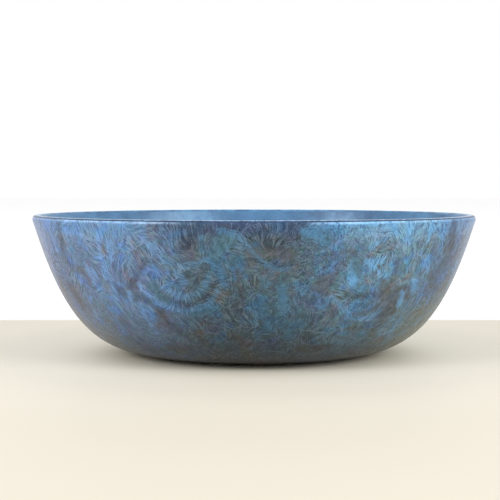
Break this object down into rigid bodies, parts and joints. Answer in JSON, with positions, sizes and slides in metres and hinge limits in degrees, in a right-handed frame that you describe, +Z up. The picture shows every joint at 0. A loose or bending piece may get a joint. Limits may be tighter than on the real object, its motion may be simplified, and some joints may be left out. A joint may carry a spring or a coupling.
{
  "type": "turned bowl",
  "caption": "Open round bowl turned from wood, with a thin flared wall on a low foot ring, feather-patterned blue paint outside and smooth cloudy blue paint inside.",
  "frame": {"origin": "centre of the foot ring's standing face, on the surface that the bowl rests on", "axes": "+Z up along the turning axis, towards the rim; X and Y are any two horizontal directions"},
  "size_m": [0.2292, 0.2292, 0.072],
  "materials": {
    "turned_wood": "pale close-grained hardwood, finely sanded and oiled",
    "feathered_blue_paint": "pressed metallic blue acrylic over a dark brown ground, feathered, under satin lacquer",
    "indigo_paint": "dark indigo acrylic under satin lacquer",
    "cloudy_blue_paint": "smooth cloudy metallic blue acrylic under satin lacquer",
    "black_paint": "matt black ground coat"
  },
  "bodies": {
    "root": {"bowl_body": "turned_wood", "outer_coat": "feathered_blue_paint", "lip_coat": "indigo_paint", "inner_coat": "cloudy_blue_paint", "foot_coat": "black_paint"}
  },
  "joints": []
}
